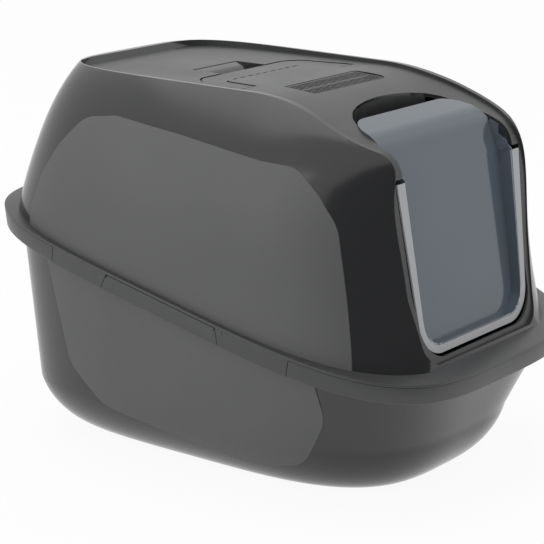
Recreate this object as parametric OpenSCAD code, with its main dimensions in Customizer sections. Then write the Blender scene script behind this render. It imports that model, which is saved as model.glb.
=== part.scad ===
// Hooded litter box with a swing door: a deep tray, a hood that clips onto its sloping rim,
// a see-through flap door, a folding carry handle and a carbon filter under a roof vent.
// Millimetres. The floor is z = 0, the door faces -Y, and the box is centred on the origin.

/* [Overall] */
// Width over the rim
rim_w = 490; // [470:5:530]
// Length over the rim, front to back
rim_l = 654; // [640:2:680]
// Height of the roof at its back edge
total_h = 473; // [466:1:485]
// Height of the rim's top face at mid-length
rim_h = 235; // [230:1:240]
// Slope of the rim, lower at the front
rim_slope = 12.3; // [11.5:0.1:13]
// Wall of the tray and the hood
wall = 3; // [2.4:0.1:3.6]

/* [Rim band] */
// Height of the band round the rim
band_h = 24; // [22:1:27]
// How far the band leans in over its height
band_lean = 2; // [1:0.5:4]
// Thickness of the band
band_t = 3; // [2.6:0.1:3.2]
// Thickness of the hood's foot flange
flange_t = 3; // [2.5:0.1:3.6]
// Width of the flange beside the hood's wall
flange_side = 8; // [7:0.5:10]
// Width of the flange in front of the hood's wall
flange_front = 21; // [18:1:24]
// Width of the flange behind the hood's wall
flange_back = 16; // [13:1:20]
// Depth of the rib that centres the hood in the tray
rib_h = 12; // [8:1:16]

/* [Tray] */
// Step from the band in to the tray's wall
tray_step = 16.5; // [14:0.5:18]
// How far the lower wall lies in from the rim at the sides
tray_side_in = 49; // [43:1:55]
// How far the lower wall lies in from the rim at the front
tray_front_in = 52; // [45:1:61]
// How far the lower wall lies in from the rim at the back
tray_back_in = 19; // [16:1:26]
// Radius where the wall turns into the bottom
tray_round = 66; // [55:1:72]
// How far the matt side panels stand out
panel_rise = 1; // [0.6:0.1:1.4]

/* [Hood body] */
// How far the roof lies in from the rim at the sides
roof_side_in = 109; // [103:1:112]
// How far the body lies in from the rim's front at roof level, before the face is cut
roof_front_in = 52; // [48:1:56]
// How far the roof lies in from the rim at the back
roof_back_in = 72; // [67:1:77]
// How long the sides stay upright before they turn in
side_power = 3.1; // [2.9:0.1:3.4]
// Distance of the knee, between roof and brow, behind the rim's front
knee_in = 218; // [213:1:223]
// Drop of the knee below the roof
knee_drop = 4; // [2:0.5:6]
// Distance of the brow behind the rim's front
brow_in = 75; // [71:1:79]
// Drop of the brow below the roof
brow_drop = 60; // [57:1:63]
// Distance of the front face behind the rim's front at mid-door
face_in = 52; // [48:1:55]
// Height of the front face's bend above the door's bottom edge
face_rise = 74; // [64:1:84]
// Distance of the front face behind the rim's front at the foot
chin_in = 30; // [27:1:33]
// Sink of the roof panel below its raised edge
roof_sink = 8; // [6:0.5:9]
// Sink of the front face below its raised edge
face_sink = 4.4; // [3.5:0.1:5.2]
// Width of the raised edge
edge_lip = 1.5; // [1:0.1:2.5]

/* [Door] */
// Half width of the door's flange at its top
door_half = 131.5; // [128:0.5:133]
// Half width of the door's flange at its bottom
door_half_low = 114; // [110:0.5:118]
// Height of the door's bottom edge above the hood's foot
door_rise = 11; // [9:0.5:15]
// Drop of the flange's top ends below the roof
door_flange_drop = 89; // [88:0.5:93]
// Radius of the door's bottom corners
door_round = 42; // [36:1:48]
// Width of the door's flange at its sides
door_flange_w = 15.2; // [14:0.1:17]
// Width of the door's flange at the bottom
door_flange_low = 11; // [9:0.5:13]
// Depth of the panel behind the flange
door_dish = 11; // [9:0.5:13]
// Thickness of the door's plastic
door_t = 2.2; // [1.8:0.1:2.6]
// Distance of the door's top edge behind the rim's front
door_top_in = 158; // [155:1:161]
// Half width of the door's top edge before its corners are rounded
door_top_half = 108; // [102:1:110]
// Radius of the door's top corners
door_top_round = 36; // [30:1:42]
// Gap between the door and the hood
door_gap = 2.5; // [2:0.1:3]
// Half width of the door over its pivot bosses
door_neck = 116; // [114:0.5:117]
// Distance of the pivot behind the rim's front
pivot_in = 87; // [85:0.5:89]
// Drop of the pivot below the roof
pivot_drop = 83; // [81:0.5:84]
// Radius of the pivot stubs
pivot_r = 3.5; // [3:0.1:4]
// Radius of the bosses round the pivots
boss_r = 8; // [7:0.5:8.5]

/* [Handle] */
// Half width over the handle's arms at the hinge
handle_half = 113; // [108:1:116]
// Half width over the handle at its crossbar
handle_half_back = 98; // [92:1:104]
// Back edge of the handle's crossbar
handle_back = 66; // [62:1:70]
// Depth of the crossbar, front to back
bar_depth = 35; // [30:1:38]
// Width of each arm
arm_w = 25; // [20:1:27]
// Thickness of the handle
handle_t = 11; // [9:0.5:12]
// Place of the handle's hinge, front to back
handle_y = -10; // [-14:1:-7]
// Radius of the arm's end round its hinge
handle_end_r = 9; // [8:0.5:10]
// Radius of the handle's hinge stubs
handle_pin_r = 3; // [2.5:0.1:3.5]
// Gap round the handle in its pocket
handle_gap = 1; // [0.8:0.1:1.4]
// Number of finger scallops under the crossbar
scallops = 9; // [5:1:10]
// Width of the finger scoop
scoop_w = 88; // [70:2:100]
// Length of the finger scoop behind the crossbar
scoop_l = 48; // [36:1:56]

/* [Vent and filter] */
// Width of the vent
vent_w = 148; // [130:2:156]
// Length of the vent
vent_l = 50; // [42:1:54]
// Distance of the vent's back edge behind the rim's front
vent_in = 277; // [273:1:281]
// Thickness of the grille
grille_t = 2.4; // [2:0.1:3]
// Slots in each row of the vent
vent_slots = 24; // [14:1:26]
// Width of a vent slot
slot_w = 3; // [2:0.1:4]
// Distance of the filter box's front wall behind the rim's front
box_in = 194; // [191:1:197]
// Half width of the filter box
box_half = 82; // [78:1:88]
// Drop of the filter box's underside below the roof
box_drop = 35; // [31:1:37]
// Wall of the filter box
box_wall = 2.5; // [2:0.1:3]
// Half width of the filter holder
holder_half = 57; // [50:1:62]
// Thickness of the filter pad
pad_t = 9; // [6:0.5:10]
// Radius of the holder's hinge stubs
holder_pin_r = 2; // [1.6:0.1:2.2]

/* [Clips] */
// Half length of a clip at its top
clip_half = 83; // [75:1:92]
// How much longer each end is at the bottom
clip_flare = 8; // [6:0.5:10]
// Half length of the bay that holds a clip and the hood's wings
bay_half = 181; // [170:1:188]
// Shift of the bay's middle towards the back
bay_shift = -6; // [-10:1:0]
// Radius of the clip's hinge barrel
barrel_r = 3.3; // [3:0.1:3.6]
// Radius of the clip's hinge stubs
clip_pin_r = 1.8; // [1.5:0.1:2]
// Gap round a clip and the wings
clip_gap = 0.8; // [0.4:0.1:0.8]
// Height of the bead that each clip snaps over
bead_rise = 1.2; // [0.8:0.1:1.5]

/* [Fits] */
// Radial clearance of a stub in its bore
run_fit = 0.08; // [0.04:0.01:0.1]
// Gap between parts that rest close together
seat_gap = 0.4; // [0.3:0.05:0.5]
// Gap between a clip and the bead it snaps over
snap_gap = 0.3; // [0.2:0.05:0.4]

/* [Hidden] */
sides = 64;
over = 20;
grade = tan(rim_slope);
shell = "#58595b";
dark = "#4a4b4d";

front_y = -rim_l / 2;
roof_half = rim_w / 2 - roof_side_in;
roof_front = rim_l / 2 - roof_front_in;
roof_back = rim_l / 2 - roof_back_in;
chin_y = front_y + chin_in;
door_low = rim_h + grade * chin_y + door_rise;
door_flange_top = total_h - door_flange_drop;
door_top_y = front_y + door_top_in;
pivot_y = front_y + pivot_in;
pivot_z = total_h - pivot_drop;

// --- outlines ------------------------------------------------------------------------
function unit(v) = v / norm(v);
function mix(a, b, t) = a + (b - a) * t;
function lift(t, n) = sign(t) * pow(abs(t), 2 / n);
function turned(list) = [for (i = [len(list) - 1:-1:0]) list[i]];

// The arc that rounds the corner p1 between p0 and p2
function corner(p0, p1, p2, r, n) =
    let (d0 = unit(p0 - p1), d1 = unit(p2 - p1), half = acos(d0 * d1) / 2)
    let (c = p1 + unit(d0 + d1) * r / sin(half), s = p1 + d0 * r / tan(half) - c)
    let (e = p1 + d1 * r / tan(half) - c, a0 = atan2(s[1], s[0]))
    let (turn = atan2(s[0] * e[1] - s[1] * e[0], s * e))
    [for (k = [0:n]) c + r * [cos(a0 + turn * k / n), sin(a0 + turn * k / n)]];

function bend(p0, p1, p2, r, n) = r > 0 ? corner(p0, p1, p2, r, n) : [p1];

function path(pts, radii, n = 6) =
    let (last = len(pts) - 1)
    concat([pts[0]], [for (i = [1:last - 1]) each bend(pts[i - 1], pts[i], pts[i + 1], radii[i], n)],
        [pts[last]]);

function loop(pts, radii, n = 6) =
    let (m = len(pts))
    [for (i = [0:m - 1]) each bend(pts[(i + m - 1) % m], pts[i], pts[(i + 1) % m], radii[i], n)];

// A line of points moved square to itself, by a depth of its own at each point
function square_off(p, q) = let (d = unit(q - p)) [-d[1], d[0]];
function sunk(pts, depth) = [for (i = [0:len(pts) - 1])
    let (n1 = square_off(pts[max(i - 1, 0)], pts[max(i, 1)]))
    let (n2 = square_off(pts[min(i, len(pts) - 2)], pts[min(i + 1, len(pts) - 1)]))
    let (b = unit(n1 + n2)) pts[i] + b * depth[i] / (b * n1)];
function even(pts, depth) = sunk(pts, [for (p = pts) depth]);
function height_at(line, y) = lookup(y, line);

// Oval that is squarer or rounder at each end, as a level or sloping ring
function ring(half, front, back, nf, nb, z, slope) =
    [for (i = [0:sides - 1])
        let (t = 360 * i / sides, n = sin(t) < 0 ? nf : nb, reach = sin(t) < 0 ? front : back)
        let (x = half * lift(cos(t), n), y = reach * lift(sin(t), n))
        [x, y, z + slope * y]];

// Solid through a row of rings that all have the same number of points
module loft(rings) {
    n = len(rings[0]);
    m = len(rings);
    faces = concat(
        [[for (i = [0:n - 1]) i]],
        [for (k = [0:m - 2], i = [0:n - 1])
            let (a = k * n + i, b = k * n + (i + 1) % n) each [[a, a + n, b + n], [a, b + n, b]]],
        [[for (i = [n - 1:-1:0]) (m - 1) * n + i]]);
    polyhedron(points = [for (r = rings) each r], faces = faces, convexity = 6);
}

// A side view (y, z) pushed out along X, and a front view (x, z) pushed out along Y
module along_x(w) rotate([90, 0, 90]) linear_extrude(w, center = true) children();
module along_y(y0, y1) translate([0, y1, 0]) rotate([90, 0, 0]) linear_extrude(y1 - y0) children();
module rod_x(y, z, r, x0, x1) translate([x0, y, z]) rotate([0, 90, 0]) cylinder(r = r, h = x1 - x0, $fn = 48);
module block(x0, x1, y0, y1, z0, z1) translate([x0, y0, z0]) cube([x1 - x0, y1 - y0, z1 - z0]);
module both_sides() {
    children();
    mirror([1, 0, 0]) children();
}

// --- rim -----------------------------------------------------------------------------
rim_nf = 3.7;
rim_nb = 4.6;
foot_half = rim_w / 2 - flange_side;
foot_front = rim_l / 2 - flange_front;
foot_back = rim_l / 2 - flange_back;
tray_top = flange_t + seat_gap;

// Ring parallel to the rim, a drop below its top face and set in from its outer edge
function rim_ring(drop, s) =
    ring(rim_w / 2 - s, rim_l / 2 - s, rim_l / 2 - s, rim_nf, rim_nb, rim_h - drop, grade);
function band_ring(drop, inset) = rim_ring(drop, inset + band_lean * drop / band_h);

module band_solid(top, bottom) loft([band_ring(bottom, 0), band_ring(top, 0)]);
module band_layer(inset, thick, top, bottom) {
    difference() {
        loft([band_ring(bottom, inset), band_ring(top, inset)]);
        loft([band_ring(bottom + 1, inset + thick), band_ring(top - 1, inset + thick)]);
    }
}

// The right-hand side of a ring alone, closed by a straight chord
chord_x = roof_half + 2 * over;
function strip(pts, k, x = chord_x) = concat([for (i = [-k:k]) pts[(i + sides) % sides]],
    [[x, pts[k][1], pts[k][2]], [x, pts[sides - k][1], pts[sides - k][2]]]);
bay_k = 6;
module inside_of(s) loft([strip(rim_ring(band_h + over, s), bay_k), strip(rim_ring(-over, s), bay_k)]);
module side_layer(inset, thick, top, bottom) {
    difference() {
        loft([strip(band_ring(bottom, inset), bay_k), strip(band_ring(top, inset), bay_k)]);
        loft([strip(band_ring(bottom + 1, inset + thick), bay_k + 1),
            strip(band_ring(top - 1, inset + thick), bay_k + 1)]);
    }
}

// Frame that lies in the rim's top face: X across, Y along the slope, Z square to it
module rim_frame() translate([0, 0, rim_h]) rotate([rim_slope, 0, 0]) children();

// A stretch of the right-hand rim, between two places along the slope
module stretch(v0, v1, flare, top, bottom) {
    rim_frame() translate([rim_w / 2 - 3 * over, 0, 0]) rotate([90, 0, 90]) linear_extrude(4 * over)
        polygon([[v0 + flare * top / band_h, top], [v0 - flare * bottom / band_h, -bottom],
            [v1 + flare * bottom / band_h, -bottom], [v1 - flare * top / band_h, top]]);
}

// --- clip bay ------------------------------------------------------------------------
// The bay's back wall stands proud of the tray's wall, by a ledge outside and more inside
bay_in = band_lean + tray_step + snap_gap;
bay_ledge = 0.2;
bay_wall = wall + 1.2;
bay_v0 = bay_shift - bay_half;
bay_v1 = bay_shift + bay_half;
barrel_gap = 0.7;
hinge_drop = flange_t + barrel_gap + barrel_r;
hinge_in = barrel_r + band_lean * hinge_drop / band_h;
hinge_x = rim_w / 2 - hinge_in;
hinge_w = -hinge_drop * cos(rim_slope);
ear_v = clip_half + clip_flare * (hinge_drop + barrel_r) / band_h + clip_gap;
ear_l = 8;
bead_half = clip_half * 0.35;
bead_top = band_h * 0.7;
bead_low = bead_top + 3.5;
lip_top = bead_low + 1.5;
lip_t = bay_in;
clip_limit = bay_in - bead_rise - snap_gap;

module hinge_rod(r, v0, v1) {
    rim_frame() translate([hinge_x, v1, hinge_w]) rotate([90, 0, 0]) cylinder(r = r, h = v1 - v0, $fn = 40);
}

module bay_body() {
    intersection() {
        stretch(bay_v0 - wall, bay_v1 + wall, 0, -tray_top, band_h);
        difference() {
            inside_of(band_t / 2);
            inside_of(bay_in + bay_wall);
        }
        loft([strip(band_ring(band_h + 2, 1), bay_k + 1), strip(band_ring(0, 1), bay_k + 1)]);
    }
}

// The pocket ends a little below the band, so it cuts through the bay's lower edge
pocket_low = band_h + 0.5;
module bay_pocket() {
    difference() {
        stretch(bay_v0, bay_v1, 0, over, pocket_low);
        inside_of(bay_in);
    }
}

module bay_bead() {
    intersection() {
        stretch(-bead_half, bead_half, 0, -bead_top, bead_low);
        difference() {
            inside_of(bay_in - bead_rise);
            inside_of(bay_in + wall / 2);
        }
    }
}

module wings() {
    difference() {
        intersection() {
            stretch(bay_v0 + clip_gap, bay_v1 - clip_gap, 0, over, band_h + over);
            side_layer(0, band_t, flange_t / 2, band_h);
        }
        inside_of(bay_in - seat_gap);
        stretch(-clip_half - clip_gap, clip_half + clip_gap, clip_flare, -flange_t, band_h + over);
    }
    intersection() {
        stretch(bay_v0 + clip_gap, bay_v1 - clip_gap, 0, -seat_gap, flange_t - seat_gap);
        difference() {
            inside_of(flange_side / 2);
            inside_of(bay_in - seat_gap);
        }
    }
    for (side = [-1, 1]) {
        v0 = side > 0 ? ear_v : -ear_v - ear_l;
        hinge_rod(barrel_r, v0, v0 + ear_l);
        rim_frame() translate([hinge_x - barrel_r, v0, hinge_w]) cube([2 * barrel_r, ear_l, -hinge_w - 1]);
    }
}

module ear_bores() {
    depth = ear_v + ear_l - 1 - clip_half;
    for (side = [-1, 1]) {
        v0 = side > 0 ? clip_half : -clip_half - depth;
        hinge_rod(clip_pin_r + run_fit, v0, v0 + depth);
    }
}

module clip_body() {
    difference() {
        union() {
            intersection() {
                stretch(-clip_half, clip_half, clip_flare, hinge_w, band_h + over);
                side_layer(0, band_t, 0, band_h);
            }
            hinge_rod(barrel_r, -clip_half, clip_half);
            intersection() {
                stretch(-bead_half, bead_half, 0, -lip_top, band_h + over);
                side_layer(band_t / 6, lip_t, lip_top - 2, band_h);
            }
        }
        inside_of(clip_limit);
    }
    hinge_rod(clip_pin_r, -ear_v - ear_l + 2, ear_v + ear_l - 2);
}

module clip_right() color(shell) clip_body();
module clip_left() color(shell) mirror([1, 0, 0]) clip_body();

// --- tray ----------------------------------------------------------------------------
tray_nf = 3.1;
tray_nb = 4.6;
round_steps = 5;
base_lean = 0.22;
shelf_rise = 1;

base_power = 1.7;
panel_over = 1.015;
tray_half = rim_w / 2 - tray_side_in;
tray_front = rim_l / 2 - tray_front_in;
tray_back = rim_l / 2 - tray_back_in;
wall_half = rim_w / 2 - bay_in - bay_ledge;
wall_reach = rim_l / 2 - bay_in - bay_ledge;

// Ring of the wall, from t = 0 over the rounded bottom to t = 1 under the rim band
function tray_wall_ring(t, inset) =
    ring(mix(tray_half, wall_half, t) - inset, mix(tray_front, wall_reach, t) - inset,
        mix(tray_back, wall_reach, t) - inset, mix(tray_nf, rim_nf, t), mix(tray_nb, rim_nb, t),
        mix(tray_round, rim_h - band_h + shelf_rise, t), grade * t);

function tray_round_ring(q, inset) =
    let (r = tray_round - inset, fall = 1 - q)
    let (s = inset + base_lean * r * fall + (1 - base_lean) * r * (1 - sqrt(1 - fall * fall)))
    ring(tray_half - s, tray_front - s, tray_back - s, tray_nf, tray_nb, inset + r * q, 0);

function tray_rings(inset, top = 1) = concat(
    [for (k = [0:round_steps - 1]) tray_round_ring(pow(k / round_steps, base_power), inset)],
    [for (k = [0:3]) tray_wall_ring(k * top / 3, inset)]);

module tray_outer() loft(concat(tray_rings(0), [band_ring(band_h, 0), band_ring(tray_top, 0)]));
module tray_inner() {
    ledge = [for (p = tray_wall_ring(1, wall)) p + [0, 0, band_t]];
    loft(concat(tray_rings(wall), [ledge, band_ring(band_h - band_t, band_t), band_ring(-over, band_t)]));
}

// A side view drawn in parts of the half length and of a height between two levels
function side_view(pts, low, high) = [for (p = pts) [p[0] * rim_l / 2, mix(low, high, p[1])]];

// The matt panel on each side of the tray
tray_panel = loop(side_view([[0.65, 1.27], [0.575, 0.46], [0.42, 0.26], [-0.27, 0.12], [-0.49, 0.19],
    [-0.61, 0.47], [-0.6, 1.27]], 0, rim_h), [0, 40, 60, 60, 45, 60, 0]);

panel_k = 10;
panel_x = roof_half / 2;
module tray_panels() {
    intersection() {
        both_sides() loft([for (r = tray_rings(-panel_rise, panel_over)) strip(r, panel_k, panel_x)]);
        along_x(rim_w) polygon(tray_panel);
    }
}

module tray() color(shell) {
    difference() {
        union() {
            difference() {
                union() {
                    tray_outer();
                    tray_panels();
                }
                tray_inner();
            }
            both_sides() bay_body();
        }
        both_sides() bay_pocket();
    }
    both_sides() bay_bead();
}

// --- hood body -----------------------------------------------------------------------
top_z = total_h + 3;
brow_y = front_y + brow_in;
brow_z = total_h - brow_drop;
face_y = front_y + face_in;
face_h = door_low + face_rise;
knee_sink = 3.6;
brow_sink = 3.2;
ridge = [[roof_back + 4, total_h], [front_y + knee_in, total_h - knee_drop], [brow_y, brow_z],
    [face_y, face_h], [chin_y, rim_h + grade * chin_y - 5]];
ridge_r = [0, 300, 35, 200, 0];
sinks = [roof_sink, knee_sink, brow_sink, face_sink, face_sink];
function sunk_line(extra) = path(sunk(ridge, [for (s = sinks) s + extra]), ridge_r);

// The body's half width, reach, slope and squareness at a level u, 0 at the rim and 1 at the top
front_power = 0.33;
front_hollow = 3;
back_power = 1.23;
grade_power = 0.62;
foot_nf = 3.5;
roof_nf = 3.5;
belly_nf = 0.3;
foot_nb = 4.3;
roof_nb = 4.7;
belly_nb = -0.6;
function bell(u) = sin(180 * u);
function body_half(u) = mix(foot_half, roof_half, pow(u, side_power));
function body_front(u) = mix(foot_front, roof_front, pow(u, front_power)) - front_hollow * bell(u);
function body_back(u) = mix(foot_back, roof_back, pow(u, back_power));
function body_z(u) = mix(rim_h, top_z, u);
function body_grade(u) = grade * pow(max(1 - u, 0), grade_power);
function body_nf(u) = mix(foot_nf, roof_nf, u) + belly_nf * bell(u);
function body_nb(u) = mix(foot_nb, roof_nb, pow(u, 12)) + belly_nb * bell(u);
body_u = [0.01, 0.06, 0.14, 0.25, 0.4, 0.55, 0.68, 0.79, 0.88, 0.95, 1];

function body_ring(u, inset) = ring(body_half(u) - inset, body_front(u) - inset,
    body_back(u) - inset, body_nf(u), body_nb(u), body_z(u), body_grade(u));

function foot_ring(drop, inset) = ring(foot_half - inset, foot_front - inset, foot_back - inset,
    foot_nf, foot_nb, rim_h - drop, grade);
function body_rings(inset, drop) = concat([foot_ring(drop, inset)],
    [for (u = body_u) body_ring(u, inset)]);
module body_loft() loft(body_rings(0, flange_t / 2));
module cavity_loft() loft(concat([foot_ring(over, wall)], body_rings(wall, flange_t / 2)));

// Half width of the body's surface at a place (y, z)
function level_of(y, z, lo, hi, n) =
    let (m = (lo + hi) / 2)
    n == 0 ? m : body_z(m) + body_grade(m) * y < z ? level_of(y, z, m, hi, n - 1)
        : level_of(y, z, lo, m, n - 1);
function half_at(y, z) =
    let (u = level_of(y, z, 0, 1, 20), n = y < 0 ? body_nf(u) : body_nb(u))
    let (q = abs(y) / (y < 0 ? body_front(u) : body_back(u)))
    body_half(u) * pow(max(1 - pow(q, n), 0), 1 / n);

ridge_line = path(ridge, ridge_r);
saddle_line = sunk_line(0);

module under(line) along_x(rim_w + over)
    polygon(concat([[rim_l, line[0][1]]], line, [[line[len(line) - 1][0], 0], [rim_l, 0]]));

// The sunken roof and face, with the body's edge left standing round it
saddle_back = roof_back - 12;
saddle_low = door_low - 8;
saddle_corner = 26;
saddle_step = 30;
cut_reach = 40;
function dense(line, step) = [for (i = [0:len(line) - 2])
    let (n = ceil(norm(line[i + 1] - line[i]) / step))
    for (k = [0:n - 1]) mix(line[i], line[i + 1], k / n)];
saddle_stops = [for (p = dense(saddle_line, saddle_step)) if (p[0] < saddle_back - 5 && p[1] > saddle_low + 1) p];
function end_round(d, r) = d < r ? r - sqrt(r * r - (r - d) * (r - d)) : 0;
function saddle_half(p) = half_at(p[0], p[1] + roof_sink) - edge_lip;
function saddle_ring(p, h, tilt) =
    let (t = p + cut_reach * tilt) [[-h, p[0], p[1]], [h, p[0], p[1]], [h, t[0], t[1]], [-h, t[0], t[1]]];

// The matt panel on each side of the hood
hood_panel = loop(side_view([[0.71, -0.3], [0.7, 0.295], [0.65, 0.475], [0.57, 0.65], [0.475, 0.795],
    [0.335, 0.82], [0.02, 0.775], [-0.345, 0.71], [-0.485, 0.7], [-0.58, 0.59], [-0.655, 0.45],
    [-0.7, 0.1], [-0.75, -0.3]], rim_h, total_h), [0, 60, 60, 60, 30, 60, 100, 40, 40, 60, 60, 60, 0]);

module hood_panels() {
    intersection() {
        both_sides() loft([for (r = body_rings(-panel_rise, flange_t / 3)) strip(r, panel_k, panel_x)]);
        along_x(rim_w) polygon(hood_panel);
    }
}

// --- door and its opening --------------------------------------------------------------
door_lean = (brow_y - face_y) / (brow_z - face_h);
door_proud = 2;
function flange_y(z) = brow_y + face_sink - door_proud - door_lean * (brow_z - z);
function flange_half(z) = mix(door_half_low, door_half, (z - door_low) / (door_flange_top - door_low));
panel_top = [pivot_y + boss_r / 2, pivot_z - boss_r];
door_line = path([[door_top_y, height_at(saddle_line, door_top_y)], [pivot_y + 35, pivot_z + 41],
    [pivot_y + 20, pivot_z + 29], panel_top, [flange_y(door_low) + door_dish, door_low]],
    [0, 40, 25, 20, 0]);
neck_y = pivot_y + 19;
cheek_top = door_flange_top + 18;

function door_front(mx, mz, r, top) = loop([[-flange_half(door_low) - mx, door_low - mz],
    [flange_half(door_low) + mx, door_low - mz], [flange_half(top) + mx, top],
    [-flange_half(top) - mx, top]], [r, r, 0, 0], 8);
function door_plan(m) = loop([[-door_neck - m, front_y], [door_neck + m, front_y],
    [door_neck + m, neck_y], [door_top_half + m, door_top_y + m], [-door_top_half - m, door_top_y + m],
    [-door_neck - m, neck_y]], [0, 0, 50, door_top_round, door_top_round, 50], 8);
tub_r = door_round - door_flange_low;

module door_sheet(line, t) along_x(rim_w) polygon(concat(line, turned(even(line, t))));
module tub_prism(m) {
    along_y(front_y, door_top_y + over) {
        polygon(door_front(-door_flange_w - m, -door_flange_low - m, tub_r - m, door_flange_top + 1));
        translate([-door_neck + m, door_flange_top + 0.5]) square([2 * (door_neck - m), 4 * over]);
    }
}

module door_tub() {
    cheek = [[flange_y(door_flange_top), door_flange_top], [flange_y(door_low), door_low],
        [flange_y(door_low) + door_dish + door_t, door_low], panel_top + [door_t, 0],
        [pivot_y + 14, cheek_top], [pivot_y + 4, cheek_top]];
    intersection() {
        tub_prism(0);
        linear_extrude(total_h) polygon(door_plan(0));
        union() {
            door_sheet(door_line, door_t);
            difference() {
                along_x(rim_w) polygon(cheek);
                tub_prism(door_t);
            }
            difference() {
                door_sheet(door_line, 3 * door_t);
                linear_extrude(total_h) polygon(door_plan(-door_t));
            }
        }
    }
}

module door_flange() {
    face = [[flange_y(door_flange_top), door_flange_top], [flange_y(door_low), door_low]];
    intersection() {
        door_sheet(face, door_t);
        difference() {
            along_y(front_y, door_top_y) polygon(door_front(0, 0, door_round, door_flange_top));
            tub_prism(door_t);
        }
    }
}

stub_l = 7;
bore_l = stub_l + 0.6;
boss_l = 4;
module door() color("#8b9197", 0.75) {
    door_tub();
    door_flange();
    both_sides() {
        rod_x(pivot_y, pivot_z, boss_r, door_neck - boss_l, door_neck);
        rod_x(pivot_y, pivot_z, pivot_r, door_neck - 1, door_neck + stub_l);
    }
}

// --- hood openings ---------------------------------------------------------------------
slot_top = door_flange_top + 5;
cheek_half = door_neck + 6.5;
shoulder_y = pivot_y + 28;
shoulder_half = door_top_half + 6;
shoulder_run = 22;
air_corner = 20;
air_side = 52;
air_gap = 21;
air_gap_mid = 30;
face_back = pivot_y + 2 * over;
half_opening = [[cheek_half, front_y], [cheek_half, shoulder_y], [shoulder_half, door_top_y - shoulder_run],
    [door_top_half - air_corner, door_top_y + air_gap], [door_top_half - air_side, door_top_y + air_gap + 1]];
opening_plan = loop(concat(half_opening, [[0, door_top_y + air_gap_mid]],
    turned([for (p = half_opening) [-p[0], p[1]]])), [0, 14, 16, 12, 100, 200, 100, 12, 16, 14, 0]);

module door_opening() {
    along_y(front_y, face_back)
        polygon(door_front(door_gap, door_gap, door_round + door_gap, slot_top));
    translate([0, 0, slot_top - 1]) linear_extrude(over * 5) polygon(opening_plan);
}

// Walls that turn in from the door opening's edge, kept clear of the door's path
return_depth = 14;
module opening_return() {
    intersection() {
        difference() {
            under(saddle_line);
            under(sunk_line(return_depth));
        }
        along_y(front_y, face_back) difference() {
            polygon(door_front(door_gap + wall, door_gap, door_round + door_gap, slot_top));
            polygon(door_front(door_gap, over, door_round, slot_top + 1));
        }
        block(-rim_w / 2, rim_w / 2, front_y, 0, door_low + tub_r, slot_top);
    }
}

module door_lug() {
    lug_x = door_neck + seat_gap;
    lug_r = boss_r - 1;
    rod_x(pivot_y, pivot_z, lug_r, lug_x, cheek_half + wall);
    intersection() {
        block(lug_x, cheek_half + wall, pivot_y - lug_r, pivot_y + boss_r, pivot_z, total_h);
        under(sunk_line(wall / 2));
    }
}

// --- handle ------------------------------------------------------------------------------
handle_top = height_at(saddle_line, handle_back) - 0.6;
handle_z = handle_top - handle_t / 2;
handle_end = handle_y - handle_end_r;
arm_in = handle_half - arm_w;
arm_taper = 4;
bar_front = handle_back - bar_depth;
bow_in_r = 9;
bow_r = 30;
function handle_plan(m) = loop([[-handle_half - m, handle_end - m], [-arm_in + m, handle_end - m],
    [-arm_in + arm_taper + m, bar_front - m], [arm_in - arm_taper - m, bar_front - m],
    [arm_in - m, handle_end - m], [handle_half + m, handle_end - m],
    [handle_half_back + m, handle_back + m], [-handle_half_back - m, handle_back + m]],
    [0, 0, bow_in_r - m, bow_in_r - m, 0, 0, bow_r + m, bow_r + m]);

scallop_pitch = 15;
scallop_r = 9;
handle_wall = 3.4;
handle_skin = 3;

module handle() color(dark) {
    difference() {
        intersection() {
            translate([0, 0, handle_top - handle_t]) linear_extrude(handle_t) difference() {
                polygon(handle_plan(0));
                for (i = [0:scallops - 1]) {
                    translate([(i - (scallops - 1) / 2) * scallop_pitch, bar_front - scallop_r * 2 / 3])
                        circle(r = scallop_r, $fn = 32);
                }
            }
            union() {
                rod_x(handle_y, handle_z, handle_end_r, -rim_w / 2, rim_w / 2);
                block(-rim_w / 2, rim_w / 2, handle_y, rim_l / 2, 0, total_h);
            }
        }
        translate([0, 0, handle_top - handle_t - 1]) linear_extrude(handle_t + 1 - handle_skin) intersection() {
            polygon(handle_plan(-handle_wall));
            translate([-rim_w / 2, handle_y + handle_end_r]) square(rim_w);
        }
    }
    both_sides() rod_x(handle_y, handle_z, handle_pin_r, handle_half - arm_w / 2, handle_half + stub_l);
}

pocket_floor = handle_top - handle_t - handle_gap;
housing_wall = 2.5;
scoop_depth = 10;
scoop_low = pocket_floor - scoop_depth;
scoop_back = handle_back + scoop_l;
scoop_ramp = 14;
scoop_edge = 3;
scoop = [[scoop_back, total_h], [scoop_back, handle_top], [scoop_back - scoop_ramp, handle_top - scoop_edge],
    [handle_back, scoop_low], [bar_front + 6, scoop_low], [bar_front + 2, pocket_floor + 1],
    [bar_front + 2, pocket_floor + 2], [handle_back + 1, pocket_floor + 3], [handle_back + 1, total_h]];
scoop_r = [0, 0, 30, 12, 5, 0, 0, 0, 0];

module handle_housing() {
    top = handle_top - 1;
    translate([0, 0, pocket_floor - housing_wall]) linear_extrude(top - pocket_floor + housing_wall)
        polygon(handle_plan(handle_gap + housing_wall));
    intersection() {
        union() {
            both_sides() rod_x(handle_y, handle_z, handle_end_r + handle_gap + housing_wall,
                arm_in - handle_gap - housing_wall, handle_half + stub_l + housing_wall + 1);
            along_x(scoop_w + 2 * housing_wall) polygon([[scoop_back, top],
                [scoop_back - scoop_ramp, handle_top - scoop_edge - 2 * housing_wall],
                [handle_back, scoop_low - housing_wall], [bar_front, scoop_low - housing_wall],
                [bar_front, top]]);
        }
        block(-rim_w / 2, rim_w / 2, front_y, rim_l / 2, 0, top);
    }
}

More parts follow.
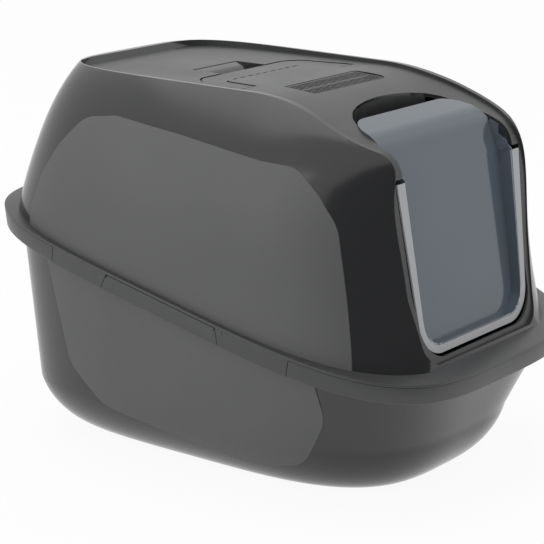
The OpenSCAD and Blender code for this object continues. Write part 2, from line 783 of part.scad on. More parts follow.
module handle_pocket() {
    translate([0, 0, pocket_floor]) linear_extrude(over * 2) polygon(handle_plan(handle_gap));
    both_sides() {
        rod_x(handle_y, handle_z, handle_end_r + handle_gap, arm_in - handle_gap, handle_half + handle_gap);
        rod_x(handle_y, handle_z, handle_pin_r + run_fit, handle_half, handle_half + bore_l);
    }
    along_x(scoop_w) polygon(loop(scoop, scoop_r));
}

// --- vent and filter -----------------------------------------------------------------------
vent_back = front_y + vent_in;
vent_z = height_at(saddle_line, vent_back);
vent_drop = vent_z - height_at(saddle_line, vent_back - vent_l);
vent_tilt = atan(vent_drop / vent_l);
vent_seat = 4;
vent_splay = 3;
vent_margin = 5;
vent_bar = 4;
module vent_frame() translate([0, vent_back, vent_z - seat_gap]) rotate([vent_tilt, 0, 0]) children();
function vent_plan(m) = loop([[-vent_w / 2 - m, m], [vent_w / 2 + m, m],
    [vent_w / 2 + vent_splay + m, -vent_l - m], [-vent_w / 2 - vent_splay - m, -vent_l - m]],
    [6 + m, 6 + m, 14 + m, 14 + m]);

module vent_grille() color(dark) {
    pitch = (vent_w - 2 * vent_margin) / vent_slots;
    row_l = (vent_l - 2 * vent_margin - vent_bar) / 2;
    vent_frame() translate([0, 0, -grille_t]) linear_extrude(grille_t) difference() {
        polygon(vent_plan(-seat_gap));
        for (i = [0:vent_slots - 1], row = [1, 2]) {
            translate([(i - (vent_slots - 1) / 2) * pitch - slot_w / 2,
                vent_bar - vent_margin - row * (row_l + vent_bar)]) square([slot_w, row_l]);
        }
    }
}

module vent_hole() {
    vent_frame() {
        translate([0, 0, -grille_t - seat_gap]) linear_extrude(over) polygon(vent_plan(0));
        translate([0, 0, -over]) linear_extrude(over * 2) polygon(vent_plan(-vent_seat));
    }
}

box_front = front_y + box_in;
box_low = total_h - box_drop;
box_floor = box_low + box_wall;
holder_y = vent_back + 4;
holder_z = box_low + holder_pin_r + 1;
holder_gap = 0.6;
holder_lip = 5;
holder_stub = 5;
ear_r = holder_pin_r + 1.8;
ear_out = holder_half + holder_stub + 2;
box_back = holder_y + 2 * ear_r;
module filter_box() {
    inner = box_half - box_wall;
    seat_low = -grille_t - seat_gap;
    intersection() {
        difference() {
            union() {
                block(-box_half, box_half, box_front, box_back, box_low, total_h);
                vent_frame() translate([0, 0, seat_low - wall + 1]) linear_extrude(wall) polygon(vent_plan(wall));
            }
            block(-inner, inner, box_front + box_wall, box_back - box_wall, box_floor, vent_z + 3 * seat_low);
            block(-holder_half - holder_gap, holder_half + holder_gap, box_front - 1, holder_y + ear_r,
                box_low - 1, box_floor + holder_lip + 1);
            block(-inner, inner, box_front + box_wall, vent_back - vent_l, box_floor, total_h - over);
        }
        under(sunk_line(1));
    }
    both_sides() {
        rod_x(holder_y, holder_z, ear_r, holder_half + holder_gap, ear_out);
        block(holder_half + holder_gap, ear_out, holder_y - ear_r, holder_y + ear_r, holder_z,
            holder_z + ear_r);
    }
}
module holder_bores() both_sides()
    rod_x(holder_y, holder_z, holder_pin_r + run_fit, holder_half - 1, ear_out - 1);

holder_rim = 2;
holder_cells = 6;
holder_rows = 2;
module filter_holder() color(dark) {
    bar = 2 * holder_rim;
    cell = (2 * holder_half - bar * (holder_cells + 1)) / holder_cells;
    cell_l = (holder_y - ear_r - box_front - bar * (holder_rows + 1)) / holder_rows;
    difference() {
        union() {
            block(-holder_half, holder_half, box_front, holder_y, box_low, box_floor);
            block(-holder_half, holder_half, box_front, box_front + box_wall, box_low, box_floor + holder_lip);
            both_sides() block(holder_half - holder_rim, holder_half, box_front, holder_y, box_low,
                box_floor + holder_lip / 2);
            rod_x(holder_y, holder_z, holder_pin_r + 1, -holder_half, holder_half);
        }
        for (i = [0:holder_cells - 1], row = [0:holder_rows - 1]) {
            x0 = -holder_half + bar + i * (cell + bar);
            y0 = box_front + bar + row * (cell_l + bar);
            block(x0, x0 + cell, y0, y0 + cell_l, box_low - 1, box_floor + 1);
        }
    }
    both_sides() rod_x(holder_y, holder_z, holder_pin_r, holder_half - 1, holder_half + holder_stub);
}

module filter_pad() color("#2b2b2d") {
    z0 = box_floor + snap_gap;
    x1 = holder_half - holder_rim - holder_gap;
    block(-x1, x1, box_front + box_wall + holder_gap, holder_y - ear_r - holder_gap, z0, z0 + pad_t);
}

// --- hood --------------------------------------------------------------------------------
module saddle_cut() {
    first = saddle_stops[0];
    last = saddle_stops[len(saddle_stops) - 1];
    back = [saddle_back, height_at(saddle_line, saddle_back)];
    rim = [saddle_back + roof_sink, total_h + 0.5];
    low = [last[0] - (last[1] - saddle_low) / 4, saddle_low];
    stops = concat([rim, back], saddle_stops, [low]);
    loft([for (i = [0:len(stops) - 1])
        let (a = stops[max(i - 1, 0)], b = stops[min(i + 1, len(stops) - 1)])
        let (n = i < 2 ? [0, 1] : -square_off(a, b), h = saddle_half(stops[i]))
        let (q = end_round(max(stops[i][1] - saddle_low, 0.5), saddle_corner))
        saddle_ring(stops[i], h - (stops[i][1] < face_h ? q : 0), n)]);
}

module hood_shell() {
    difference() {
        union() {
            intersection() {
                union() {
                    body_loft();
                    hood_panels();
                }
                under(ridge_line);
            }
            band_solid(0, flange_t);
        }
        intersection() {
            cavity_loft();
            under(sunk_line(wall));
        }
        saddle_cut();
        door_opening();
    }
}

rib_t = 2;
module centring_rib() {
    difference() {
        band_layer(band_t + 1, rib_t, 1, rib_h);
        both_sides() stretch(bay_v0 - wall - 1, bay_v1 + wall + 1, 0, over, band_h + over);
    }
}

module hood() color(shell) {
    difference() {
        union() {
            hood_shell();
            centring_rib();
            both_sides() wings();
            opening_return();
            both_sides() door_lug();
            handle_housing();
            filter_box();
        }
        both_sides() {
            ear_bores();
            rod_x(pivot_y, pivot_z, pivot_r + run_fit, door_neck - 1, door_neck + bore_l);
        }
        handle_pocket();
        vent_hole();
        holder_bores();
    }
}

tray();
hood();
door();
handle();
vent_grille();
filter_pad();
filter_holder();
clip_left();
clip_right();
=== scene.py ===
# %% [markdown]
# # A hooded litter box
# The box has a deep tray, a hood that clips onto the tray's sloping rim, a see-through swing
# door, a folding handle and a filter under a roof vent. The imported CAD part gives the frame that
# every piece below is built in, so nothing has to be fitted by eye.

# %% Load the frame
import math
import bmesh
import bpy
from mathutils import Matrix, Vector


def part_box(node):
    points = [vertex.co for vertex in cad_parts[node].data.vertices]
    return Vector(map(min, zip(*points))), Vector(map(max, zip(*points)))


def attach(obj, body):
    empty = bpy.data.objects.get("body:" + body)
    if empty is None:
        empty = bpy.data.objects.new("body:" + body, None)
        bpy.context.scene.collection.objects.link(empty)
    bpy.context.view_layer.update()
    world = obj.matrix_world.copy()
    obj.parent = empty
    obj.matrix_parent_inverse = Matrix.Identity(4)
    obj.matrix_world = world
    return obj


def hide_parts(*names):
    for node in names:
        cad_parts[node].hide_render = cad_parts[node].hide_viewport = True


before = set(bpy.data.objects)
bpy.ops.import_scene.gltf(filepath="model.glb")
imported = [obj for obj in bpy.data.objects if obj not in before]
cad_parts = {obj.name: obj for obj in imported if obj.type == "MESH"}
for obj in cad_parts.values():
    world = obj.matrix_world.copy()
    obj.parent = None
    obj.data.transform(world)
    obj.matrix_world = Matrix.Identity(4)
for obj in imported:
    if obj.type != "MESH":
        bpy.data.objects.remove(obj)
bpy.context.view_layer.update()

# %% [markdown]
# ## The camera
# The photograph was taken from the front left, a little above the rim. The camera's place is kept
# as the angles round the box, the distance and the point that it looks at, because those are easy
# to read. A long lens keeps the sides of the box nearly parallel.

# %% Place the camera
view_azimuth = math.radians(-52.57)
view_elevation = math.radians(15.21)
view_distance = 2.5077
view_target = Vector((-0.0143, 0.0114, 0.2151))

back = Vector((math.sin(view_azimuth) * math.cos(view_elevation),
               -math.cos(view_azimuth) * math.cos(view_elevation),
               math.sin(view_elevation)))
camera_data = bpy.data.cameras.new("camera")
camera_data.sensor_width = 36
camera_data.lens = 131.9
camera = bpy.data.objects.new("camera", camera_data)
camera.location = view_target + view_distance * back
camera.rotation_euler = (-back).to_track_quat("-Z", "Y").to_euler()
bpy.context.collection.objects.link(camera)
bpy.context.scene.camera = camera
print("camera at", [round(value, 3) for value in camera.location])

# %% [markdown]
# ## Sizes
# The outer sizes come from the frame. The others are the real part's sizes in millimetres, and
# helpers turn millimetres into Blender's metres in one place.

# %% Name the sizes
MM = 0.001
hood_low, hood_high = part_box("hood")
rim_w = (hood_high[0] - hood_low[0]) / MM
rim_l = (hood_high[1] - hood_low[1]) / MM
total_h = hood_high[2] / MM
rim_h, rim_slope = 235.0, 12.3
wall = 3.0
band_h, band_lean, band_t = 24.0, 2.0, 3.0
flange_t, flange_side, flange_front, flange_back = 3.0, 8.0, 21.0, 16.0
rib_h = 12.0
tray_step, tray_half, tray_front, tray_back, tray_round = 16.5, 196.0, 275.0, 308.0, 66.0
panel_rise = 1.0
roof_half, roof_front, roof_back, side_power = 136.0, 275.0, 255.0, 3.1
roof_sink, edge_lip = 8.0, 1.5
grade = math.tan(math.radians(rim_slope))
over = 20.0
play = 0.08
SIDES = 256
print("rim", round(rim_w, 1), "by", round(rim_l, 1), "mm, roof at", round(total_h, 1))

# %% [markdown]
# ## Outlines
# Most of this moulding's lines are straight runs joined by arcs. One helper turns a corner into an
# arc, and two others use it along an open path and round a closed loop.

# %% Round the corners of an outline
def corner_arc(before, corner, after, radius, steps):
    """The arc that rounds one corner, as a list of points."""
    if radius <= 0:
        return [corner]
    p, a, b = Vector(corner), Vector(before), Vector(after)
    to_a, to_b = (a - p).normalized(), (b - p).normalized()
    half = math.acos(max(-1, min(1, to_a.dot(to_b)))) / 2
    centre = p + (to_a + to_b).normalized() * radius / math.sin(half)
    start, end = p + to_a * radius / math.tan(half) - centre, p + to_b * radius / math.tan(half) - centre
    first = math.atan2(start.y, start.x)
    turn = math.atan2(start.x * end.y - start.y * end.x, start.dot(end))
    angles = [first + turn * k / steps for k in range(steps + 1)]
    return [(centre.x + radius * math.cos(t), centre.y + radius * math.sin(t)) for t in angles]

def path(points, radii, steps=16):
    inner = [corner_arc(points[i - 1], points[i], points[i + 1], radii[i], steps)
             for i in range(1, len(points) - 1)]
    return [points[0]] + [p for arc in inner for p in arc] + [points[-1]]

def loop(points, radii, steps=12):
    n = len(points)
    arcs = [corner_arc(points[i - 1], points[i], points[(i + 1) % n], radii[i], steps) for i in range(n)]
    return [p for arc in arcs for p in arc]

def sunk(points, depths):
    """Moves a line square to itself, by its own depth at each point."""
    def square_off(p, q):
        d = (Vector(q) - Vector(p)).normalized()
        return Vector((-d.y, d.x))
    last, moved = len(points) - 1, []
    for i, p in enumerate(points):
        n1 = square_off(points[max(i - 1, 0)], points[max(i, 1)])
        n2 = square_off(points[min(i, last - 1)], points[min(i + 1, last)])
        b = (n1 + n2).normalized()
        moved.append(tuple(Vector(p) + b * depths[i] / b.dot(n1)))
    return moved

def even(points, depth):
    return sunk(points, [depth] * len(points))

def height_at(line, y):
    for p, q in zip(line, line[1:]):
        if min(p[0], q[0]) <= y <= max(p[0], q[0]) and p[0] != q[0]:
            return p[1] + (q[1] - p[1]) * (y - p[0]) / (q[0] - p[0])
    return line[0][1] if abs(y - line[0][0]) < abs(y - line[-1][0]) else line[-1][1]

def dense(line, step):
    fine = []
    for p, q in zip(line, line[1:]):
        n = max(1, math.ceil(math.dist(p, q) / step))
        fine += [(p[0] + (q[0] - p[0]) * k / n, p[1] + (q[1] - p[1]) * k / n) for k in range(n)]
    return fine + [line[-1]]

# %% [markdown]
# ## Building blocks
# A moulded shell is easiest to build as a designer would in CAD: simple solids are added, cut and
# intersected. Blender's Boolean modifier does that, and its Manifold solver is quick and exact on
# closed meshes. Each helper makes one closed mesh, and `add`, `cut` and `common` combine them.

# %% Make and combine closed meshes
# The fourth slot, for the rim band, carries a painted light colour: the glossy plastic made lighter.
finish_names = ("main_finish", "panel_finish", "roof_finish", "band_gloss_and_painted_light")
MAIN, PANEL, ROOF, BAND = range(4)
finishes = [bpy.data.materials.new(name) for name in finish_names]

def marked(thing, finish):
    """Gives all faces of a solid one of the finishes. A cut keeps its tool's finish."""
    thing.data.polygons.foreach_set("material_index", [finish] * len(thing.data.polygons))
    return thing

def solid(points, faces):
    mesh = bpy.data.meshes.new("solid")
    mesh.from_pydata([(x * MM, y * MM, z * MM) for x, y, z in points], [], faces)
    bm = bmesh.new()
    bm.from_mesh(mesh)
    bmesh.ops.recalc_face_normals(bm, faces=bm.faces)
    bm.to_mesh(mesh)
    bm.free()
    for finish in finishes:
        mesh.materials.append(finish)
    thing = bpy.data.objects.new("solid", mesh)
    bpy.context.collection.objects.link(thing)
    return thing

def combine(body, tools, operation):
    for tool in tools:
        modifier = body.modifiers.new("combine", "BOOLEAN")
        modifier.operation, modifier.solver, modifier.object = operation, "MANIFOLD", tool
        graph = bpy.context.evaluated_depsgraph_get()
        mesh = bpy.data.meshes.new_from_object(body.evaluated_get(graph))
        body.modifiers.clear()
        old, body.data = body.data, mesh
        bpy.data.meshes.remove(old)
        bpy.data.objects.remove(tool)
    return body

def add(body, *tools):
    return combine(body, tools, "UNION")

def cut(body, *tools):
    return combine(body, tools, "DIFFERENCE")

def common(body, *tools):
    return combine(body, tools, "INTERSECT")

def mirrored(make):
    """The same solid built twice, with the second one mirrored left to right."""
    right, left = make(), make()
    left.data.transform(Matrix.Scale(-1, 4, (1, 0, 0)))
    left.data.flip_normals()
    return right, left

def loft(rings):
    n, m = len(rings[0]), len(rings)
    sides = [(k * n + i, k * n + (i + 1) % n, (k + 1) * n + (i + 1) % n, (k + 1) * n + i)
             for k in range(m - 1) for i in range(n)]
    caps = [tuple(range(n)), tuple(range((m - 1) * n, m * n))]
    return solid([p for r in rings for p in r], sides + caps)

def prism(outline, low, high, axis):
    turns = {"x": lambda a, b, c: (c, a, b), "y": lambda a, b, c: (a, c, b), "z": lambda a, b, c: (a, b, c)}
    place = turns[axis]
    return loft([[place(a, b, c) for a, b in outline] for c in (low, high)])

def block(x0, x1, y0, y1, z0, z1):
    return prism([(x0, y0), (x1, y0), (x1, y1), (x0, y1)], z0, z1, "z")

def rod_x(y, z, radius, x0, x1, steps=64):
    turns = [2 * math.pi * k / steps for k in range(steps)]
    return prism([(y + radius * math.cos(t), z + radius * math.sin(t)) for t in turns], x0, x1, "x")

# %% [markdown]
# ## The oval rings
# From above, the tray and the hood are ovals that are squarer at some levels than at others. A
# superellipse draws that family: one exponent for the front half and one for the back half.

# %% Draw rings and the rim's layers
def mix(a, b, t):
    return a + (b - a) * t

def lift(value, power):
    return math.copysign(abs(value) ** (2 / power), value)

def ring(half, front, rear, nf, nb, z, slope):
    points = []
    for i in range(SIDES):
        t = 2 * math.pi * i / SIDES
        s, c = math.sin(t), math.cos(t)
        n, reach = (nf, front) if s < 0 else (nb, rear)
        x, y = half * lift(c, n), reach * lift(s, n)
        points.append((x, y, z + slope * y))
    return points

rim_nf, rim_nb = 3.7, 4.6

def rim_ring(drop, s):
    return ring(rim_w / 2 - s, rim_l / 2 - s, rim_l / 2 - s, rim_nf, rim_nb, rim_h - drop, grade)

def band_ring(drop, inset):
    return rim_ring(drop, inset + band_lean * drop / band_h)

def band_layer(inset, thick, top, bottom):
    inside = loft([band_ring(bottom + 1, inset + thick), band_ring(top - 1, inset + thick)])
    return cut(loft([band_ring(bottom, inset), band_ring(top, inset)]), inside)

def inside_of(s):
    return loft([rim_ring(band_h + over, s), rim_ring(-over, s)])

rim_frame = Matrix.Translation((0, 0, rim_h * MM)) @ Matrix.Rotation(math.radians(rim_slope), 4, "X")
def stretch(v0, v1, flare, top, bottom):
    """A stretch of the right-hand rim, between two places along its slope."""
    f = flare / band_h
    piece = prism([(v0 + f * top, top), (v0 - f * bottom, -bottom), (v1 + f * bottom, -bottom),
                   (v1 - f * top, top)], rim_w / 2 - 3 * over, rim_w / 2 + over, "x")
    piece.data.transform(rim_frame)
    return piece
print("ring of", len(rim_ring(0, 0)), "points")

# %% [markdown]
# ## The clip bays
# Each long side of the tray's rim has a pocket, and in it the hood's wings and a clip lie flush with
# the band. The sizes are shared by the tray, the hood and the clips, so they are named once here.

# %% Name the bay's sizes
bay_in = band_lean + tray_step + 0.3
bay_ledge = 0.2
bay_v0, bay_v1 = -187.0, 175.0
tray_top = flange_t + 0.4
clip_half, clip_flare, clip_gap = 83.0, 8.0, 0.8
barrel_r, clip_pin_r = 3.3, 1.8
hinge_drop = flange_t + 0.7 + barrel_r
hinge_x = rim_w / 2 - barrel_r - band_lean * hinge_drop / band_h
hinge_w = -hinge_drop * math.cos(math.radians(rim_slope))
ear_v = clip_half + clip_flare * (hinge_drop + barrel_r) / band_h + clip_gap
ear_l = 8.0
bead_half, bead_rise = 29.0, 1.2
bead_top = 0.7 * band_h
lip_top = bead_top + 5

def hinge_rod(radius, v0, v1):
    turns = [2 * math.pi * k / 48 for k in range(48)]
    outline = [(hinge_x + radius * math.cos(t), hinge_w + radius * math.sin(t)) for t in turns]
    piece = prism(outline, v0, v1, "y")
    piece.data.transform(rim_frame)
    return piece
print("clip hinge at x", round(hinge_x, 1), "mm")

# %% [markdown]
# ## The tray
# The tray is a deep oval tub. Its wall is lofted through rings, from the small flat base through
# a big rounded corner to the wide rim band. The inside is the same loft, moved in by the wall.

# %% Loft the tray's wall
tray_nf, tray_nb, base_lean = 3.1, 4.6, 0.22

def tray_wall_ring(t, inset):
    w, l = rim_w / 2 - bay_in - bay_ledge, rim_l / 2 - bay_in - bay_ledge
    return ring(mix(tray_half, w, t) - inset, mix(tray_front, l, t) - inset,
                mix(tray_back, l, t) - inset, mix(tray_nf, rim_nf, t), mix(tray_nb, rim_nb, t),
                mix(tray_round, rim_h - band_h + 1, t), grade * t)

def tray_round_ring(q, inset):
    r, fall = tray_round - inset, 1 - q
    s = inset + base_lean * r * fall + (1 - base_lean) * r * (1 - math.sqrt(1 - fall * fall))
    return ring(tray_half - s, tray_front - s, tray_back - s, tray_nf, tray_nb, inset + r * q, 0)

def tray_rings(inset, top=1.0, round_steps=22, wall_steps=14):
    low = [tray_round_ring((k / round_steps) ** 1.7, inset) for k in range(round_steps)]
    return low + [tray_wall_ring(k * top / wall_steps, inset) for k in range(wall_steps + 1)]

def side_view(shape, low, high):
    """A side view drawn in parts of the half length and of a height between two levels."""
    return [(y * rim_l / 2, mix(low, high, z)) for y, z in shape]

tray_panel = loop(side_view([(0.65, 1.27), (0.575, 0.46), (0.42, 0.26), (-0.27, 0.12), (-0.49, 0.19),
                             (-0.61, 0.47), (-0.6, 1.27)], 0, rim_h), [0, 40, 60, 60, 45, 60, 0])

edge_r = 1.0
def edge_turn(steps=4):
    """How far a rounded edge lies below the top and in from the side."""
    turns = [math.pi / 2 * k / steps for k in range(steps + 1)]
    return [(edge_r * (1 - math.sin(t)), edge_r * (1 - math.cos(t))) for t in turns]

def tray_shell():
    low_edge = [band_ring(band_h - drop, inset) for drop, inset in reversed(edge_turn())]
    top_edge = [band_ring(tray_top + drop / 2, inset / 2) for drop, inset in edge_turn()]
    wall_rings = tray_rings(0)
    outer = loft(wall_rings + low_edge + top_edge)
    first = (len(wall_rings) - 1) * len(wall_rings[0])
    # The band's faces take the band slot, whose lighter colour is painted light for the upright band.
    for face in outer.data.polygons[first:]:
        face.material_index = BAND
    ledge = [(x, y, z + band_t) for x, y, z in tray_wall_ring(1, wall)]
    inner = loft(tray_rings(wall) + [ledge, band_ring(band_h - band_t, band_t), band_ring(-over, band_t)])
    outline = prism(tray_panel, -rim_w, rim_w, "x")
    panels = common(marked(loft(tray_rings(-panel_rise, 1.015)), PANEL), marked(outline, PANEL))
    return cut(add(outer, panels), inner)

# %% [markdown]
# ## The clip bays
# Each long side of the rim has a bay that its clip swings into. A solid block of rim is added
# first, the pocket is cut out of it, and then the bead that the clip snaps over is added.

# %% Cut the clip bays into the tray's rim
def bay_body():
    rim = cut(inside_of(band_t / 2), inside_of(bay_in + wall + 1.2))
    piece = common(stretch(bay_v0 - wall, bay_v1 + wall, 0, -tray_top, band_h), rim)
    return common(piece, loft([band_ring(band_h + 2, 1), band_ring(0, 1)]))

def bay_pocket():
    return cut(stretch(bay_v0, bay_v1, 0, over, band_h + 0.5), inside_of(bay_in))

def bay_bead():
    ridge_of_bead = cut(inside_of(bay_in - bead_rise), inside_of(bay_in + wall / 2))
    return common(stretch(-bead_half, bead_half, 0, -bead_top, bead_top + 3.5), ridge_of_bead)

tray = tray_shell()
add(tray, *[marked(bay, BAND) for bay in mirrored(bay_body)])
cut(tray, *mirrored(bay_pocket))
add(tray, *mirrored(bay_bead))
tray.name = "tray_tub"
print("tray has", len(tray.data.polygons), "faces")

# %% [markdown]
# ## The hood's body
# The hood rises from a wide foot and turns in towards a narrower roof. It is lofted through rings
# whose half width, reach and squareness change with the level u, from 0 at the rim to 1 at the top.

# %% Loft the hood's body
foot_half, foot_front, foot_back = rim_w / 2 - flange_side, rim_l / 2 - flange_front, rim_l / 2 - flange_back
top_z = total_h + 3

def bell(u):
    return math.sin(math.pi * u)

def body_shape(u):
    """Reach to the front and the back, and the squareness of both halves, at a level u."""
    front = mix(foot_front, roof_front, u ** 0.563) - 173 * u ** 13.4
    rear = mix(foot_back, roof_back, u ** 1.23)
    return front, rear, mix(3.4, 4.84, u) - 0.96 * bell(u), mix(4.3, 4.7, u ** 12) - 0.6 * bell(u)

def body_ring(u, inset):
    half = mix(foot_half, roof_half, u ** side_power)
    front, rear, nf, nb = body_shape(u)
    return ring(half - inset, front - inset, rear - inset, nf, nb, mix(rim_h, top_z, u),
                grade * max(1 - u, 0) ** 0.62)

def foot_ring(drop, inset):
    return ring(foot_half - inset, foot_front - inset, foot_back - inset, 3.4, 4.3, rim_h - drop, grade)

def body_rings(inset, drop, steps=56):
    levels = [0.01 + 0.99 * (k / steps) ** 1.2 for k in range(steps + 1)]
    return [foot_ring(drop, inset)] + [body_ring(u, inset) for u in levels]

def half_at(y, z):
    """Half width of the body's surface at one place, found by halving the level's range."""
    lo, hi = 0.0, 1.0
    for step in range(30):
        u = (lo + hi) / 2
        if mix(rim_h, top_z, u) + grade * (1 - u) ** 0.62 * y < z:
            lo = u
        else:
            hi = u
    front, rear, nf, nb = body_shape(u)
    n, q = (nf, -y / front) if y < 0 else (nb, y / rear)
    return mix(foot_half, roof_half, u ** side_power) * max(1 - q ** n, 0) ** (1 / n)

# %% [markdown]
# ## The ridge and the sunken roof
# Seen from the side, one line runs along the roof, over the brow and down the face. Everything
# above it is cut away. A second line a few millimetres lower cuts the roof and the face as one
# sunken band, and leaves the body's edge standing as a thin ridge on both sides.

# %% Draw the ridge and cut under it
chin_y, door_rise = -297.0, 11.0
door_low = rim_h + grade * chin_y + door_rise
face_h = door_low + 74
ridge = [(roof_back + 4, total_h), (-109, total_h - 4), (-252, total_h - 60), (-275, face_h),
         (chin_y, rim_h + grade * chin_y - 5)]
ridge_r = [0, 300, 35, 200, 0]
sinks = [roof_sink, 3.6, 3.2, 4.4, 4.4]
ridge_line = path(ridge, ridge_r, 24)

def sunk_line(extra):
    return path(sunk(ridge, [s + extra for s in sinks]), ridge_r, 24)

saddle_line = sunk_line(0)

def under(line):
    return prism([(rim_l, line[0][1])] + line + [(line[-1][0], 0), (rim_l, 0)], -rim_w, rim_w, "x")

saddle_back, saddle_low, saddle_corner = roof_back - 12, door_low - 8, 26.0

def saddle_cut():
    stops = [p for p in dense(saddle_line, 6) if p[0] < saddle_back - 5 and p[1] > saddle_low + 1]
    rim = (saddle_back + roof_sink, total_h + 0.5)
    rear = (saddle_back, height_at(saddle_line, saddle_back))
    last = stops[-1]
    stops = [rim, rear] + stops + [(last[0] - (last[1] - saddle_low) * 0.25, saddle_low)]
    rings = []
    for i, p in enumerate(stops):
        a, b = Vector(stops[max(i - 1, 0)]), Vector(stops[min(i + 1, len(stops) - 1)])
        d = (b - a).normalized()
        out = (0, 1) if i < 2 else (d.y, -d.x)
        h = half_at(p[0], p[1] + roof_sink) - edge_lip
        rise = max(p[1] - saddle_low, 0.5)
        if p[1] < face_h and rise < saddle_corner:
            h -= saddle_corner - math.sqrt(saddle_corner ** 2 - (saddle_corner - rise) ** 2)
        t = (p[0] + 40 * out[0], p[1] + 40 * out[1])
        rings.append([(-h, *p), (h, *p), (h, *t), (-h, *t)])
    return loft(rings)

# %% [markdown]
# ## The door opening
# The opening follows the door with an even gap. From the front it is a rounded rectangle that
# widens upwards, and above the pivots its outline is drawn from above, up to the vent's side.

# %% Draw the door's outlines
door_half, door_half_low, door_flange_top, door_round = 131.5, 114.0, 384.0, 42.0
door_flange_w, door_flange_foot, door_flange_low, door_dish, door_t = 15.2, 7.5, 9.0, 11.0, 2.2
door_top_y, door_top_half, door_top_round, door_neck = -169.0, 108.0, 36.0, 116.0
rim_drop = 3.0
pivot_y, pivot_z, pivot_r, boss_r = -240.0, 390.0, 3.5, 8.0
brow_z = total_h - 60
slot_top, cheek_half, door_gap = door_flange_top + 5, 122.5, 2.5

def flange_y(z):
    return -252 + 4.4 - 2 - (23 / (brow_z - face_h)) * (brow_z - z)

def flange_half(z):
    return mix(door_half_low, door_half, (z - door_low) / (door_flange_top - door_low))

def door_front(mx, mz, r, top):
    return loop([(-flange_half(door_low) - mx, door_low - mz), (flange_half(door_low) + mx, door_low - mz),
                 (flange_half(top) + mx, top), (-flange_half(top) - mx, top)], [r, r, 0, 0], 16)

def door_plan(m):
    return loop([(-door_neck - m, -rim_l / 2), (door_neck + m, -rim_l / 2), (door_neck + m, -221),
                 (door_top_half + m, door_top_y + m), (-door_top_half - m, door_top_y + m),
                 (-door_neck - m, -221)], [0, 0, 50, door_top_round, door_top_round, 50], 16)

cheek_edge, return_depth = 118.6, 14.0
lip_depth, lip_side, lip_wall, lip_back = 30.0, 4.0, 2.4, -152.0
opening_back, opening_front = -137.0, -200.0
opening_side = [(cheek_edge, -rim_l / 2), (cheek_edge, -219), (109, -196), (104, -181),
                (93, -165), (77, -153.5), (55, -145), (30, -139.5)]
side_rounds = [0, 20, 20, 20, 20, 30, 40, 60]
opening_edge = path(opening_side + [(0, opening_back)] + [(-x, y) for x, y in reversed(opening_side)],
                    side_rounds + [100] + side_rounds[::-1], 6)

def door_openings():
    outline = door_front(door_gap, door_gap, door_round + door_gap, slot_top)
    front = prism(outline, -rim_l / 2, opening_front, "y")
    return front, prism(opening_edge, slot_top - 1, slot_top + 99, "z")

def opening_lip():
    """The edge of the roof turns down round the opening, like a short collar."""
    outer = even(opening_edge, -lip_wall)
    ring = cut(prism(outer, slot_top, total_h, "z"), prism(opening_edge, slot_top - 1, total_h + 1, "z"))
    sides = common(under(sunk_line(lip_side)), block(-rim_w, rim_w, -rim_l, lip_back, 0, total_h))
    return marked(cut(common(ring, under(saddle_line)), under(sunk_line(lip_depth)), sides), ROOF)

def opening_return():
    """The wall that turns inwards along the sides of the opening, behind the door's flange."""
    band = cut(under(saddle_line), under(sunk_line(return_depth)))
    outer = door_front(door_gap + wall, door_gap, door_round + door_gap, slot_top)
    inner = door_front(door_gap, over, door_round, slot_top + 1)
    frame_wall = cut(prism(outer, -rim_l / 2, opening_front, "y"),
                     prism(inner, -rim_l / 2, opening_front, "y"))
    zone = block(-rim_w / 2, rim_w / 2, -rim_l / 2, 0, door_low + 30, slot_top)
    return common(common(band, frame_wall), zone)

def door_lug():
    """The ear that holds the door's pin, joined to the roof by a web."""
    x0, x1 = door_neck + 0.4, cheek_half + 3
    web = block(x0, x1, pivot_y - 7, pivot_y + 8, pivot_z, total_h)
    return add(rod_x(pivot_y, pivot_z, boss_r - 1, x0, x1), common(web, under(sunk_line(wall / 2))))

# %% [markdown]
# ## The handle's pocket
# The carry handle folds flat into a pocket in the roof. Under its crossbar, the pocket gets deeper
# and runs out behind as a finger scoop. The housing below the roof is the pocket plus a wall.

# %% Draw the handle and its pocket
handle_half, handle_half_back, handle_back, bar_depth, arm_w = 113.0, 98.0, 66.0, 35.0, 25.0
handle_t, handle_y, handle_end_r, handle_pin_r, handle_gap = 11.0, -10.0, 9.0, 3.0, 1.0
scoop_w, scoop_l, scoop_run, scoop_drop = 88.0, 48.0, 14.0, 3.0
pocket_gap = 2.2
handle_top = height_at(saddle_line, handle_back) - 0.6
handle_z = handle_top - handle_t / 2
handle_end = handle_y - handle_end_r
arm_in = handle_half - arm_w
pocket_floor = handle_top - handle_t - handle_gap
housing_wall = 2.5
scoop_low = pocket_floor - 10

def handle_plan(m):
    front, end = handle_back - bar_depth - m, handle_end - m
    return loop([(-handle_half - m, end), (-arm_in + m, end), (-arm_in + 4 + m, front),
                 (arm_in - 4 - m, front), (arm_in - m, end), (handle_half + m, end),
                 (handle_half_back + m, handle_back + m), (-handle_half_back - m, handle_back + m)],
                [0, 0, 9 - m, 9 - m, 0, 0, 30 + m, 30 + m], 12)

def handle_housing():
    top = handle_top - 1
    tub = prism(handle_plan(handle_gap + housing_wall), pocket_floor - housing_wall, top, "z")
    ends = mirrored(lambda: rod_x(handle_y, handle_z, handle_end_r + handle_gap + housing_wall,
                                  arm_in - 5, handle_half + 11))
    low, bowl_half = scoop_low - housing_wall, scoop_w / 2 + housing_wall
    bowl = prism([(handle_back + scoop_l, top),
                  (handle_back + scoop_l - scoop_run, handle_top - scoop_drop - 2 * housing_wall),
                  (handle_back, low), (handle_back - bar_depth, low), (handle_back - bar_depth, top)],
                 -bowl_half, bowl_half, "x")
    return add(tub, common(add(bowl, *ends), block(-rim_w / 2, rim_w / 2, -rim_l / 2, rim_l / 2, 0, top)))

